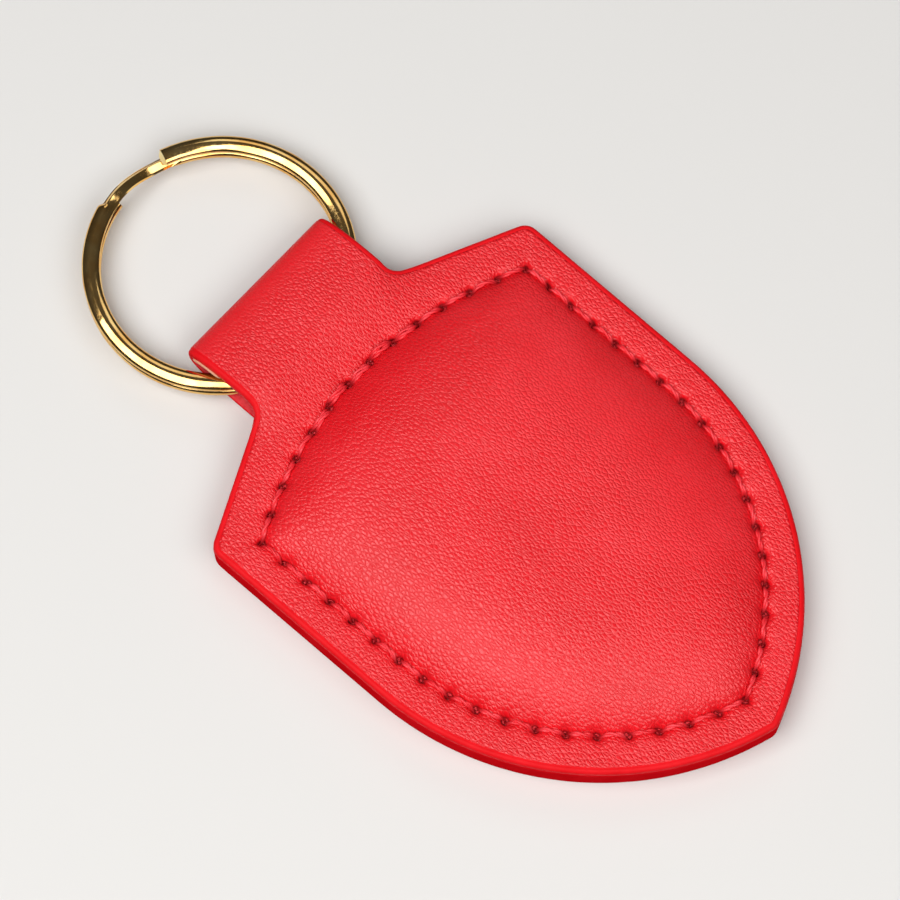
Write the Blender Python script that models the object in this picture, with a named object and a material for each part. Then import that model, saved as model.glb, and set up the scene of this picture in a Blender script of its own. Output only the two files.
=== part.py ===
# Leather key fob: a padded shield with a folded tab, on a split ring.
# Metres, +Z up. The fob lies on its back, with the tab and the ring towards +Y.
# The origin is on the surface that it lies on, under the middle of its length.

import math

import bmesh
import bpy
from mathutils import Matrix, Vector

# Shield outline
SHIELD_LENGTH = 0.0567  # from the tip to the line through the shoulder corners
SHOULDER_WIDTH = 0.0504  # across the shoulder corners
FLANK_WIDTH = 0.0498  # across the lower ends of the straight sides
FLANK_LENGTH = 0.0236  # of a straight side, down from its corner
SHOULDER_RISE = 0.0069  # from a corner up to the side of the tab
CORNER_ROUND = 0.0018
TIP_ROUND = 0.0015
ROOT_FILLET = 0.0018  # where a shoulder runs into the tab

# Tab, folded over the ring and caught in the top seam
TAB_WIDTH = 0.0213
TAB_REACH = 0.0174  # from the line through the corners to the outside of the fold
TAIL_PAST_SEAM = 0.0026
TAIL_BEND = 0.0034  # length over which the tail climbs between the covers
RISE_PAST_RING = 0.0015  # the front of the tab is at full height this far past the ring
EDGE_SETTLE = 0.0022  # the sides of the tab are at full height this far past its root

# Layers
FRONT_LEATHER = 0.0010
BACK_LEATHER = 0.0012
BOARD_THICKNESS = 0.0010
TAPE_THICKNESS = 0.0003
LAYER_GAP = 0.0003

# Padding
DOME_HEIGHT = 0.0040  # crown of the dome above the flange
DOME_POWER = 2.8  # how soon the dome levels off towards its crown
PAD_EDGE_SHARE = 0.09
SLOPE_ALLOWANCE = 0.0002  # the cover is thicker than its leather where it slopes

# Seam
SEAM_MARGIN = 0.0041  # from the edge of the shield to the stitches
SEAM_CORNER_DROP = 0.0034  # the seam's corners lie this far below the shield's
SEAM_BOW = 0.0053  # the top row of stitches bows up towards the tab
STITCH_PITCH = 0.00325
THREAD_DIP = 0.00015  # how far a thread is drawn down at a hole
NEEDLE_THREAD = 0.0005
BOBBIN_THREAD = 0.0004
BOBBIN_RECESS = 0.0001
FRONT_GROOVE = 0.0002
GROOVE_HALF_WIDTH = 0.0005

# Split ring, two turns of flat-sided wire
RING_DIAMETER = 0.0300
WIRE_WIDTH = 0.0020
COIL_HEIGHT = 0.0010
COIL_GAP = 0.00045
RING_CLEARANCE = 0.0003
RING_OFFSET = -0.0005  # the ring lies a little to the left in the loop
RING_END_DEG = 71.0  # place of the upper cut end, seen from above
RING_CLIMB_DEG = 28.0  # stretch over which the wire climbs a turn
WIRE_ROUNDNESS = 0.7

CUT_OVERRUN = 0.0005

# Steps along the outline of half a shield
BELLY_STEPS = 14
FLANK_STEPS = 4
CORNER_STEPS = 3
SHOULDER_STEPS = 5
FILLET_STEPS = 3
ROOT_STEPS = 6
FOLD_STEPS = 10
RISE_STEPS = 6
STRAP_STEPS = 3
BEND_STEPS = 6
DOME_SHARES = (0.0, 0.06, 0.14, 0.25, 0.38, 0.54, 0.72, 0.88)
STITCH_SHARES = ((0.0, 1.0), (0.2, 0.25), (0.5, 0.0), (0.8, 0.25))  # place, how far drawn in
DRAWN_IN_SHARE = 0.35
TIP_SHARE = 0.3
LIFT_INNER_SHARE = 0.7  # of half the tab, from where the lift fades towards the shoulders
LIFT_FADE_SHARE = 0.6
RING_STEP_DEG = 8.0
WIRE_SIDES = 12
THREAD_SIDES = 6
SMOOTH_DEG = 35.0

# Heights of the layers
MIDDLE_BASE = BACK_LEATHER + LAYER_GAP
MIDDLE_THICKNESS = max(BOARD_THICKNESS, FRONT_LEATHER)
PAD_BASE = MIDDLE_BASE + MIDDLE_THICKNESS + LAYER_GAP
FLANGE_TOP = PAD_BASE + FRONT_GROOVE + FRONT_LEATHER

# The loop and the ring in it
RING_HEIGHT = 2 * COIL_HEIGHT + COIL_GAP
RING_BASE = FRONT_LEATHER + RING_CLEARANCE
TAPE_BASE = RING_BASE + RING_HEIGHT + RING_CLEARANCE
TAPE_TOP = TAPE_BASE + TAPE_THICKNESS
LOOP_HEIGHT = max(TAPE_TOP + LAYER_GAP + FRONT_LEATHER, FLANGE_TOP)
FOLD_RADIUS = LOOP_HEIGHT / 2
FOLD_INSIDE = FOLD_RADIUS - FRONT_LEATHER
RING_RADIUS = RING_DIAMETER / 2
RING_BORE = RING_RADIUS - WIRE_WIDTH
TAB_HALF = TAB_WIDTH / 2


def clipped_root(value):
    """Square root, and zero for what is below zero."""
    return math.sqrt(max(value, 0.0))


# Distances along the object, measured from the tip
RING_OFF_MIDDLE = RING_HEIGHT / 2 + abs(RING_BASE + RING_HEIGHT / 2 - FOLD_RADIUS)
FOLD_ROOM = clipped_root(FOLD_INSIDE**2 - RING_OFF_MIDDLE**2) - RING_CLEARANCE
FOLD_FROM_TIP = SHIELD_LENGTH + TAB_REACH
RING_FROM_TIP = (
    FOLD_FROM_TIP - FOLD_RADIUS + FOLD_ROOM + clipped_root(RING_BORE**2 - (TAB_HALF + abs(RING_OFFSET)) ** 2)
)
OVERALL_LENGTH = RING_FROM_TIP + RING_RADIUS

# Places along Y
TIP_Y = -OVERALL_LENGTH / 2
CORNER_Y = TIP_Y + SHIELD_LENGTH
FLANK_END_Y = CORNER_Y - FLANK_LENGTH
FOLD_Y = TIP_Y + FOLD_FROM_TIP
FOLD_CENTRE_Y = FOLD_Y - FOLD_RADIUS
RING_Y = TIP_Y + RING_FROM_TIP
RING_LOW_Y = RING_Y - RING_RADIUS
SEAM_CORNER_Y = CORNER_Y - SEAM_CORNER_DROP
SEAM_TOP_Y = SEAM_CORNER_Y + SEAM_BOW
TAIL_END_Y = SEAM_TOP_Y - TAIL_PAST_SEAM
BEND_START_Y = RING_LOW_Y - RING_CLEARANCE / 3
BEND_END_Y = BEND_START_Y - TAIL_BEND
RISE_START_Y = SEAM_TOP_Y + GROOVE_HALF_WIDTH
RISE_END_Y = RING_LOW_Y + RISE_PAST_RING
TAB_FULL_Y = max(RISE_END_Y, CORNER_Y + SHOULDER_RISE + EDGE_SETTLE)
HINGE_Y = (SEAM_TOP_Y + RING_LOW_Y) / 2
HINGE_Z = (FLANGE_TOP + LOOP_HEIGHT) / 4


def smooth_step(value):
    """0 below 0, 1 above 1, and an S-curve between."""
    held = min(max(value, 0.0), 1.0)
    return held * held * (3 - 2 * held)


# Outline

def belly_circle():
    """Centre and radius of the arc that leaves the straight side smoothly and meets the tip."""
    end = Vector((FLANK_WIDTH / 2, FLANK_END_Y))
    tip = Vector((0.0, TIP_Y))
    along = Vector((SHOULDER_WIDTH / 2, CORNER_Y)) - end
    inward = Vector((-along.y, along.x)).normalized()
    to_end = end - tip
    radius = -to_end.length_squared / (2 * to_end.dot(inward))
    return end + inward * radius, radius, inward


def rounded_corner(before, corner, after, radius, steps):
    """Points of an arc that rounds a corner, from the side of before to that of after."""
    first = (before - corner).normalized()
    second = (after - corner).normalized()
    half_angle = first.angle(second) / 2
    reach = radius / math.tan(half_angle)
    centre = corner + (first + second).normalized() * (radius / math.sin(half_angle))
    start = corner + first * reach - centre
    sweep = start.angle_signed(corner + second * reach - centre)
    points = []
    for step in range(steps + 1):
        points.append(centre + Matrix.Rotation(-sweep * step / steps, 2) @ start)
    return points


def side_points(margin):
    """Tip to shoulder corner along the right side, margin in from the edge."""
    centre, radius, inward = belly_circle()
    inner = radius - margin
    tip_angle = math.atan2(-clipped_root(inner**2 - centre.x**2), -centre.x)
    end_angle = math.atan2(-inward.y, -inward.x)
    points = []
    for step in range(BELLY_STEPS + 1):
        angle = tip_angle + (end_angle - tip_angle) * step / BELLY_STEPS
        points.append(centre + Vector((math.cos(angle), math.sin(angle))) * inner)
    return points


def shield_half(notch_half=None, notch_y=None):
    """Right half of the shield's outline from the tip to the middle of its top.

    With no notch it ends along the root of the tab; a notch lets the tail of the tab through.
    """
    side = side_points(0.0)
    corner = Vector((SHOULDER_WIDTH / 2, CORNER_Y))
    root = Vector((TAB_HALF, CORNER_Y + SHOULDER_RISE))
    slope = (root - corner).normalized()
    tip = Vector((0.0, TIP_Y))
    mirrored = Vector((-side[1].x, side[1].y))
    tip_round = rounded_corner(mirrored, tip, side[1], TIP_ROUND, 2)
    points = [tip_round[1], tip_round[2]] + side[1:]
    round_points = rounded_corner(side[-1], corner, root, CORNER_ROUND, CORNER_STEPS)
    for step in range(1, FLANK_STEPS):
        points.append(side[-1].lerp(round_points[0], step / FLANK_STEPS))
    points += round_points
    if notch_half is None:
        above = Vector((TAB_HALF, FOLD_Y))
        fillet = rounded_corner(corner, root, above, ROOT_FILLET, FILLET_STEPS)
        last = Vector((0.0, fillet[-1].y))
    else:
        edge = corner + slope * ((corner.x - notch_half) / -slope.x)
        fillet = [edge, Vector((notch_half, notch_y))]
        last = Vector((0.0, notch_y))
    for step in range(1, SHOULDER_STEPS):
        points.append(round_points[-1].lerp(fillet[0], step / SHOULDER_STEPS))
    points += fillet
    for step in range(1, ROOT_STEPS + 1):
        points.append(fillet[-1].lerp(last, step / ROOT_STEPS))
    return points


def closed_loop(half):
    """Both halves of an outline, counter-clockwise from the tip."""
    left = [Vector((-point.x, point.y)) for point in reversed(half[1:-1])]
    return half + left


def seam_corner(margin):
    """Right corner of the seam, margin in from the edge."""
    centre, radius, inward = belly_circle()
    base = Vector((SHOULDER_WIDTH / 2, CORNER_Y)) + inward * margin
    along = Vector((inward.y, -inward.x))
    return base + along * ((SEAM_CORNER_Y + SEAM_MARGIN - margin - base.y) / along.y)


def seam_half(shift):
    """Right half of the seam, shift further in than the stitches, matched to shield_half()."""
    outer = shield_half()
    margin = SEAM_MARGIN + shift
    side = side_points(margin)
    corner = seam_corner(margin)
    points = [side[0], side[0].lerp(side[1], TIP_SHARE)] + side[1:]
    for step in range(1, FLANK_STEPS):
        points.append(side[-1].lerp(corner, step / FLANK_STEPS))
    points.append(corner)
    first = outer[len(points) - 1]
    for point in outer[len(points):]:
        across = corner.x * point.x / first.x
        points.append(Vector((across, seam_top(across, corner))))
    return points


def seam_top(across, corner):
    """Height along Y of the bowed top row at a place across the fob."""
    return corner.y + SEAM_BOW * (1 - (across / corner.x) ** 2)


# Meshes

def add_rows(mesh, rows, closed):
    """Joins each row of points to the next with faces, and returns the rows of vertices."""
    made = [[mesh.verts.new(point) for point in row] for row in rows]
    for row, next_row in zip(made, made[1:]):
        join_rows(mesh, row, next_row, closed)
    return made


def join_rows(mesh, row, next_row, closed):
    """One band of faces between two rows of vertices."""
    count = len(row) if closed else len(row) - 1
    for place in range(count):
        after = (place + 1) % len(row)
        mesh.faces.new((row[place], row[after], next_row[after], next_row[place]))


def lifted(points, height):
    """Flat points set at a height."""
    return [Vector((point.x, point.y, height)) for point in points]


def add_object(name, mesh, material):
    """Turns a bmesh into a named object with one material, shaded smooth but for its edges."""
    data = bpy.data.meshes.new(name)
    bmesh.ops.recalc_face_normals(mesh, faces=mesh.faces)
    mesh.to_mesh(data)
    mesh.free()
    data.shade_smooth()
    data.set_sharp_from_angle(angle=math.radians(SMOOTH_DEG))
    data.materials.append(material)
    made = bpy.data.objects.new(name, data)
    bpy.context.scene.collection.objects.link(made)
    return made


def finish(name, colour, roughness, metallic):
    """A plain surface of one colour."""
    material = bpy.data.materials.new(name)
    material.use_nodes = True
    shader = material.node_tree.nodes["Principled BSDF"]
    shader.inputs["Base Color"].default_value = (*colour, 1.0)
    shader.inputs["Roughness"].default_value = roughness
    shader.inputs["Metallic"].default_value = metallic
    return material


def add_thickness(made, thickness, outwards):
    """Gives a sheet its thickness: offset -1 grows it inwards, away from its grain side."""
    solid = made.modifiers.new("thickness", "SOLIDIFY")
    solid.thickness = thickness
    solid.offset = outwards
    solid.use_even_offset = True


# Front cover

def tab_lift(across, along):
    """How far the front cover stands above the flange, where it climbs over the ring."""
    rise = smooth_step((along - RISE_START_Y) / (RISE_END_Y - RISE_START_Y))
    shoulder = smooth_step((abs(across) - TAB_HALF * LIFT_INNER_SHARE) / (TAB_HALF * LIFT_FADE_SHARE))
    on_tab = smooth_step((along - CORNER_Y - SHOULDER_RISE) / EDGE_SETTLE)
    return (LOOP_HEIGHT - FLANGE_TOP) * rise * (1 - shoulder * (1 - on_tab))


def dome_height(share):
    """Height above the flange at a share of the way from the seam to the crown."""
    return DOME_HEIGHT * (1 - (1 - share) ** DOME_POWER)


def dome_loop(share):
    """Outline of the dome at a share of the way in from the seam."""
    foot = closed_loop(seam_half(GROOVE_HALF_WIDTH))
    middle = Vector((0.0, (foot[0].y + SEAM_TOP_Y) / 2))
    return [point.lerp(middle, share) for point in foot], middle


def cover_rows():
    """Rows of the front of the shield, from its edge over the seam to the crown."""
    rows = []
    for points, drop in (
        (closed_loop(shield_half()), 0.0),
        (closed_loop(seam_half(-GROOVE_HALF_WIDTH)), 0.0),
        (closed_loop(seam_half(0.0)), FRONT_GROOVE),
    ):
        rows.append([
            Vector((point.x, point.y, FLANGE_TOP - drop + tab_lift(point.x, point.y)))
            for point in points
        ])
    for share in DOME_SHARES:
        loop, middle = dome_loop(share)
        rows.append(lifted(loop, FLANGE_TOP + dome_height(share)))
    return rows, Vector((middle.x, middle.y, FLANGE_TOP + DOME_HEIGHT))


def tab_path():
    """Grain side of the tab in the YZ plane, from its root round the fold to the tail's end."""
    root_y = shield_half()[-1].y
    path = []
    for step in range(1, RISE_STEPS + 1):
        along = root_y + (TAB_FULL_Y - root_y) * step / RISE_STEPS
        path.append((along, None))
    start = path[-1][0]
    for step in range(1, STRAP_STEPS):
        path.append((start + (FOLD_CENTRE_Y - start) * step / STRAP_STEPS, None))
    for step in range(FOLD_STEPS + 1):
        angle = math.pi / 2 - math.pi * step / FOLD_STEPS
        along = FOLD_CENTRE_Y + FOLD_RADIUS * math.cos(angle)
        path.append((along, FOLD_RADIUS + FOLD_RADIUS * math.sin(angle)))
    for step in range(1, STRAP_STEPS + 1):
        path.append((FOLD_CENTRE_Y + (BEND_START_Y - FOLD_CENTRE_Y) * step / STRAP_STEPS, 0.0))
    for step in range(1, BEND_STEPS + 1):
        share = step / BEND_STEPS
        path.append((BEND_START_Y - TAIL_BEND * share, MIDDLE_BASE * smooth_step(share)))
    path.append(((BEND_END_Y + TAIL_END_Y) / 2, MIDDLE_BASE))
    path.append((TAIL_END_Y, MIDDLE_BASE))
    return path


def front_cover():
    """One piece of leather: domed shield, tab, fold and tail."""
    mesh = bmesh.new()
    rows, crown = cover_rows()
    made = add_rows(mesh, rows, True)
    top = mesh.verts.new(crown)
    last = made[-1]
    for place, vertex in enumerate(last):
        mesh.faces.new((vertex, last[(place + 1) % len(last)], top))
    edge = made[0]
    middle = len(shield_half()) - 1
    row = edge[middle - ROOT_STEPS:middle + ROOT_STEPS + 1]
    for along, height in tab_path():
        next_row = []
        for vertex in row:
            level = FLANGE_TOP + tab_lift(vertex.co.x, along) if height is None else height
            next_row.append(mesh.verts.new((vertex.co.x, along, level)))
        join_rows(mesh, row, next_row, False)
        row = next_row
    leather = finish("red_leather", (0.72, 0.03, 0.04), 0.45, 0.0)
    made = add_object("front_cover", mesh, leather)
    add_thickness(made, FRONT_LEATHER, -1.0)
    return made


# Back cover, board and pad

def plate(name, half, base, top, material):
    """A flat sheet of one outline."""
    mesh = bmesh.new()
    face = mesh.faces.new([mesh.verts.new(point) for point in lifted(closed_loop(half), base)])
    grown = bmesh.ops.extrude_face_region(mesh, geom=[face])
    raised = [item for item in grown["geom"] if isinstance(item, bmesh.types.BMVert)]
    bmesh.ops.translate(mesh, verts=raised, vec=(0.0, 0.0, top - base))
    bmesh.ops.triangulate(mesh, faces=[face for face in mesh.faces if len(face.verts) > 4])
    return add_object(name, mesh, material)


def groove_cutter():
    """A closed band along the seam that cuts the back cover's thread groove."""
    depth = BOBBIN_RECESS + BOBBIN_THREAD + LAYER_GAP * 0.8
    outer = closed_loop(seam_half(-GROOVE_HALF_WIDTH))
    inner = closed_loop(seam_half(GROOVE_HALF_WIDTH))
    mesh = bmesh.new()
    rows = add_rows(mesh, [
        lifted(outer, -CUT_OVERRUN), lifted(outer, depth), lifted(inner, depth), lifted(inner, -CUT_OVERRUN),
    ], True)
    join_rows(mesh, rows[-1], rows[0], True)
    cutter = add_object("groove_cutter", mesh, finish("cutter", (0.5, 0.5, 0.5), 0.5, 0.0))
    cutter.hide_render = True
    cutter.display_type = "WIRE"
    return cutter


def back_cover():
    """Flat leather back, notched for the tail and grooved for the bobbin thread."""
    notch_y = BEND_END_Y + TAIL_BEND * 0.1
    leather = finish("red_back_leather", (0.66, 0.03, 0.04), 0.5, 0.0)
    half = shield_half(TAB_HALF + LAYER_GAP, notch_y)
    made = plate("back_cover", half, 0.0, BACK_LEATHER, leather)
    cut = made.modifiers.new("thread groove", "BOOLEAN")
    cut.object = groove_cutter()
    return made


def stiffener_board():
    """Board between the covers, cut out for the tail of the tab."""
    fibre = finish("fibre_board", (0.45, 0.36, 0.26), 0.9, 0.0)
    half = shield_half(TAB_HALF + LAYER_GAP, TAIL_END_Y - LAYER_GAP)
    return plate("stiffener_board", half, MIDDLE_BASE, MIDDLE_BASE + BOARD_THICKNESS, fibre)


def foam_pad():
    """Crowned filler under the dome, flat on the board."""
    drop = FRONT_LEATHER + LAYER_GAP + SLOPE_ALLOWANCE
    mesh = bmesh.new()
    edge, middle = dome_loop(PAD_EDGE_SHARE)
    rows = [lifted(edge, PAD_BASE)]
    shares = [PAD_EDGE_SHARE] + [share for share in DOME_SHARES if share > PAD_EDGE_SHARE]
    for share in shares:
        loop, middle = dome_loop(share)
        height = FLANGE_TOP + dome_height(share) - drop
        rows.append(lifted(loop, max(height, PAD_BASE + LAYER_GAP / 2)))
    made = add_rows(mesh, rows, True)
    crown = mesh.verts.new((middle.x, middle.y, FLANGE_TOP + DOME_HEIGHT - drop))
    last = made[-1]
    for place, vertex in enumerate(last):
        mesh.faces.new((vertex, last[(place + 1) % len(last)], crown))
    mesh.faces.new(made[0])
    bmesh.ops.triangulate(mesh, faces=[face for face in mesh.faces if len(face.verts) > 4])
    return add_object("foam_pad", mesh, finish("white_foam", (0.85, 0.84, 0.8), 0.95, 0.0))


# Stitches

def spaced(points, count):
    """Places that divide a run of points into count equal lengths, without its end."""
    lengths = [0.0]
    for start, end in zip(points, points[1:]):
        lengths.append(lengths[-1] + (end - start).length)
    places = []
    index = 0
    for step in range(count):
        wanted = lengths[-1] * step / count
        while lengths[index + 1] < wanted:
            index += 1
        share = (wanted - lengths[index]) / (lengths[index + 1] - lengths[index])
        places.append(points[index].lerp(points[index + 1], share))
    return places


def run_length(points):
    """Length of a run of points."""
    return sum((end - start).length for start, end in zip(points, points[1:]))


def stitch_holes():
    """The needle's holes, once round the seam, with one at the tip and at each corner."""
    half = seam_half(0.0)
    corner_place = BELLY_STEPS + FLANK_STEPS + 1
    side = half[:corner_place + 1]
    top_right = half[corner_place:]
    top = top_right + [Vector((-point.x, point.y)) for point in reversed(top_right[:-1])]
    left = [Vector((-point.x, point.y)) for point in reversed(side)]
    holes = []
    for run in (side, top, left):
        holes += spaced(run, max(2, round(run_length(run) / STITCH_PITCH)))
    return holes


def thread(name, height, thickness, dip, colour):
    """One unbroken thread round the seam, full between the holes and drawn in at each."""
    mesh = bmesh.new()
    holes = stitch_holes()
    rows = []
    for start, end in zip(holes, holes[1:] + holes[:1]):
        along = (end - start).normalized()
        across = Vector((-along.y, along.x))
        for place_share, drawn_share in STITCH_SHARES:
            centre = start.lerp(end, place_share)
            radius = thickness / 2 * (1 - drawn_share * DRAWN_IN_SHARE)
            row = []
            for side in range(THREAD_SIDES):
                angle = math.tau * side / THREAD_SIDES
                flat = centre + across * radius * math.cos(angle)
                level = height - dip * drawn_share + radius * math.sin(angle)
                row.append(Vector((flat.x, flat.y, level)))
            rows.append(row)
    made = add_rows(mesh, rows, True)
    join_rows(mesh, made[-1], made[0], True)
    return add_object(name, mesh, finish(name + "_red", colour, 0.6, 0.0))


# Tape and ring

def reinforcing_tape():
    """Thin pale strip under the front of the tab, over the ring."""
    start = TAB_FULL_Y + LAYER_GAP
    end = max(FOLD_CENTRE_Y, start + TAPE_THICKNESS)
    half = TAB_HALF - LAYER_GAP
    mesh = bmesh.new()
    bmesh.ops.create_cube(mesh, size=1.0)
    bmesh.ops.scale(mesh, verts=mesh.verts, vec=(half * 2, end - start, TAPE_THICKNESS))
    middle = Vector((0.0, (start + end) / 2, (TAPE_BASE + TAPE_TOP) / 2))
    pivot = Vector((0.0, HINGE_Y, HINGE_Z))
    bmesh.ops.translate(mesh, verts=mesh.verts, vec=middle - pivot)
    return add_object("reinforcing_tape", mesh, finish("cream_tape", (0.8, 0.68, 0.58), 0.9, 0.0))


def wire_centre(degrees):
    """Centre of the wire at an angle along its two turns, from the ring's own middle."""
    climb_start = RING_END_DEG + 360
    climb = smooth_step((degrees - climb_start) / RING_CLIMB_DEG)
    angle = math.radians(degrees)
    radius = RING_RADIUS - WIRE_WIDTH / 2
    low = COIL_HEIGHT / 2 - RING_HEIGHT / 2
    height = low + (COIL_HEIGHT + COIL_GAP) * climb
    return Vector((radius * math.cos(angle), radius * math.sin(angle), height))


def split_ring():
    """Two flat turns of wire, one on the other, joined by a short climb."""
    first = RING_END_DEG + RING_CLIMB_DEG
    last = RING_END_DEG + 720
    steps = math.ceil((last - first) / RING_STEP_DEG)
    rows = []
    for step in range(steps + 1):
        degrees = first + (last - first) * step / steps
        centre = wire_centre(degrees)
        outward = Vector((centre.x, centre.y, 0.0)).normalized()
        row = []
        for side in range(WIRE_SIDES):
            angle = math.tau * side / WIRE_SIDES
            reach = squared(math.cos(angle)) * WIRE_WIDTH / 2
            height = squared(math.sin(angle)) * COIL_HEIGHT / 2
            row.append(centre + outward * reach + Vector((0.0, 0.0, height)))
        rows.append(row)
    mesh = bmesh.new()
    made = add_rows(mesh, rows, True)
    mesh.faces.new(made[0])
    mesh.faces.new(list(reversed(made[-1])))
    return add_object("split_ring", mesh, finish("gold_plate", (0.9, 0.68, 0.25), 0.15, 1.0))


def squared(value):
    """Flattens a circle's sides: the wire's section is a rounded oblong."""
    return math.copysign(abs(value) ** WIRE_ROUNDNESS, value)


def least_coil_gap():
    """Least distance between the wire's two turns, measured between their centres."""
    first = RING_END_DEG + RING_CLIMB_DEG
    last = RING_END_DEG + 720
    count = math.ceil((last - first) / RING_STEP_DEG * 2)
    places = [first + (last - first) * step / count for step in range(count + 1)]
    least = None
    for place in places:
        for other in places:
            if other - place > 300:
                apart = (wire_centre(other) - wire_centre(place)).length - COIL_HEIGHT
                least = apart if least is None else min(least, apart)
    return least


def place_on(made, parent, location):
    """Hangs an object on its parent, at a place measured from it."""
    made.parent = parent
    made.location = location


def main():
    for old in list(bpy.data.objects):
        bpy.data.objects.remove(old, do_unlink=True)
    front_cover()
    back_cover()
    stiffener_board()
    foam_pad()
    needle_height = FLANGE_TOP - FRONT_GROOVE + LAYER_GAP + NEEDLE_THREAD / 2
    thread("needle_thread", needle_height, NEEDLE_THREAD, THREAD_DIP, (0.7, 0.05, 0.06))
    bobbin_height = BOBBIN_RECESS + BOBBIN_THREAD / 2
    thread("bobbin_thread", bobbin_height, BOBBIN_THREAD, -THREAD_DIP, (0.6, 0.04, 0.05))
    tab_hinge = bpy.data.objects.new("tab_hinge", None)
    tab_hinge.location = (0.0, HINGE_Y, HINGE_Z)
    bpy.context.scene.collection.objects.link(tab_hinge)
    place_on(reinforcing_tape(), tab_hinge, (0.0, 0.0, 0.0))
    ring_middle = Vector((RING_OFFSET, RING_Y, RING_BASE + RING_HEIGHT / 2))
    place_on(split_ring(), tab_hinge, ring_middle - tab_hinge.location)
    print("least gap between the ring's turns, mm:", round(least_coil_gap() * 1000, 3))


main()
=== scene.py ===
# Red leather key fob: a padded shield whose tab is folded over a split ring.
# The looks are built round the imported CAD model, in the same metres and the same frame.
import math

import bmesh
import bpy
from mathutils import Matrix, Vector


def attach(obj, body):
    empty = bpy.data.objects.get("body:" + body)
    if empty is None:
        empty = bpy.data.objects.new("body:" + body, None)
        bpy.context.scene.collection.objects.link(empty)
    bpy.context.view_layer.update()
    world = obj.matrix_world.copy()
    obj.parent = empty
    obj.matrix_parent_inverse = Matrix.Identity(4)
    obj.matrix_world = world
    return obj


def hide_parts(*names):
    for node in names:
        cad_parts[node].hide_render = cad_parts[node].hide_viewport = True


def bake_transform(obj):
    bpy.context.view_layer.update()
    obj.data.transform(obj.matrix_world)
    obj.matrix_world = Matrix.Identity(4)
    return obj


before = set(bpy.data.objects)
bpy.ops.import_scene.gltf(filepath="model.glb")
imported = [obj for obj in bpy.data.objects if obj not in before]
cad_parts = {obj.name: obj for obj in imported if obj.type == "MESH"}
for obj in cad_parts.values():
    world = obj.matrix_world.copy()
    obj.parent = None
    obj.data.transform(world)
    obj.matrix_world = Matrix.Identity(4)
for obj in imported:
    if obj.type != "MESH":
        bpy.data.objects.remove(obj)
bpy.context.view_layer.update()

mm = 0.001
tiny = 1e-6

# Sizes that the pieces share, in millimetres, as in the part's source
fob = {
    "tipY": -46.831, "cornerY": 9.869, "flankEndY": -13.731,
    "shoulderHalf": 25.2, "flankHalf": 24.9, "shoulderRise": 6.9,
    "cornerRound": 1.8, "tipRound": 1.5, "rootFillet": 1.8, "leastRound": 0.08,
    "tabHalf": 10.65, "flangeTop": 4.0, "loopTop": 5.65,
    "seamMargin": 4.1, "seamCornerY": 6.469, "seamTopY": 11.769, "stitches": (18, 13, 18),
}
# Steps along a side of the shield, round each of its corners, round a root fillet and along the
# top seam, then along the tab: straight, over the fold, back under it, straight, up and to its end
sideSteps, cornerSteps, filletSteps, topSteps = 72, 12, 10, 120
tabSteps = {"straight": 4, "overFold": 24, "underFold": 20, "back": 4, "bend": 8, "tail": 3}


def smoothStep(value):
    held = min(max(value, 0.0), 1.0)
    return held * held * (3 - 2 * held)


def mix(low, high, share):
    return low + (high - low) * share


def hump(distance, width):
    return math.exp(-(distance / width) ** 2)


# Outlines. Points are flat vectors in millimetres, right half first, from the tip upwards.

def mirrored(point):
    return Vector((-point.x, point.y))


def leftOf(direction):
    return Vector((-direction.y, direction.x)).normalized()


def bellyCircle():
    end = Vector((fob["flankHalf"], fob["flankEndY"]))
    along = Vector((fob["shoulderHalf"], fob["cornerY"])) - end
    inward = Vector((-along.y, along.x)).normalized()
    toEnd = end - Vector((0.0, fob["tipY"]))
    radius = -toEnd.length_squared / (2 * toEnd.dot(inward))
    return end + inward * radius, radius, inward


def bellySide(inset):
    # The round side from the tip to the flank's end, and the way from the flank into the leather
    centre, radius, inward = bellyCircle()
    inner = radius - inset
    tipAngle = math.atan2(-math.sqrt(inner ** 2 - centre.x ** 2), -centre.x)
    endAngle = math.atan2(-inward.y, -inward.x)
    angles = [mix(tipAngle, endAngle, step / sideSteps) for step in range(sideSteps + 1)]
    return [centre + Vector((math.cos(angle), math.sin(angle))) * inner for angle in angles], inward


def arcBetween(before, corner, after, radius, steps):
    first, second = (before - corner).normalized(), (after - corner).normalized()
    halfAngle = first.angle(second) / 2
    centre = corner + (first + second).normalized() * (radius / math.sin(halfAngle))
    start = corner + first * (radius / math.tan(halfAngle)) - centre
    sweep = start.angle_signed(corner + second * (radius / math.tan(halfAngle)) - centre)
    return [centre + Matrix.Rotation(-sweep * step / steps, 2) @ start for step in range(steps + 1)]


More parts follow.
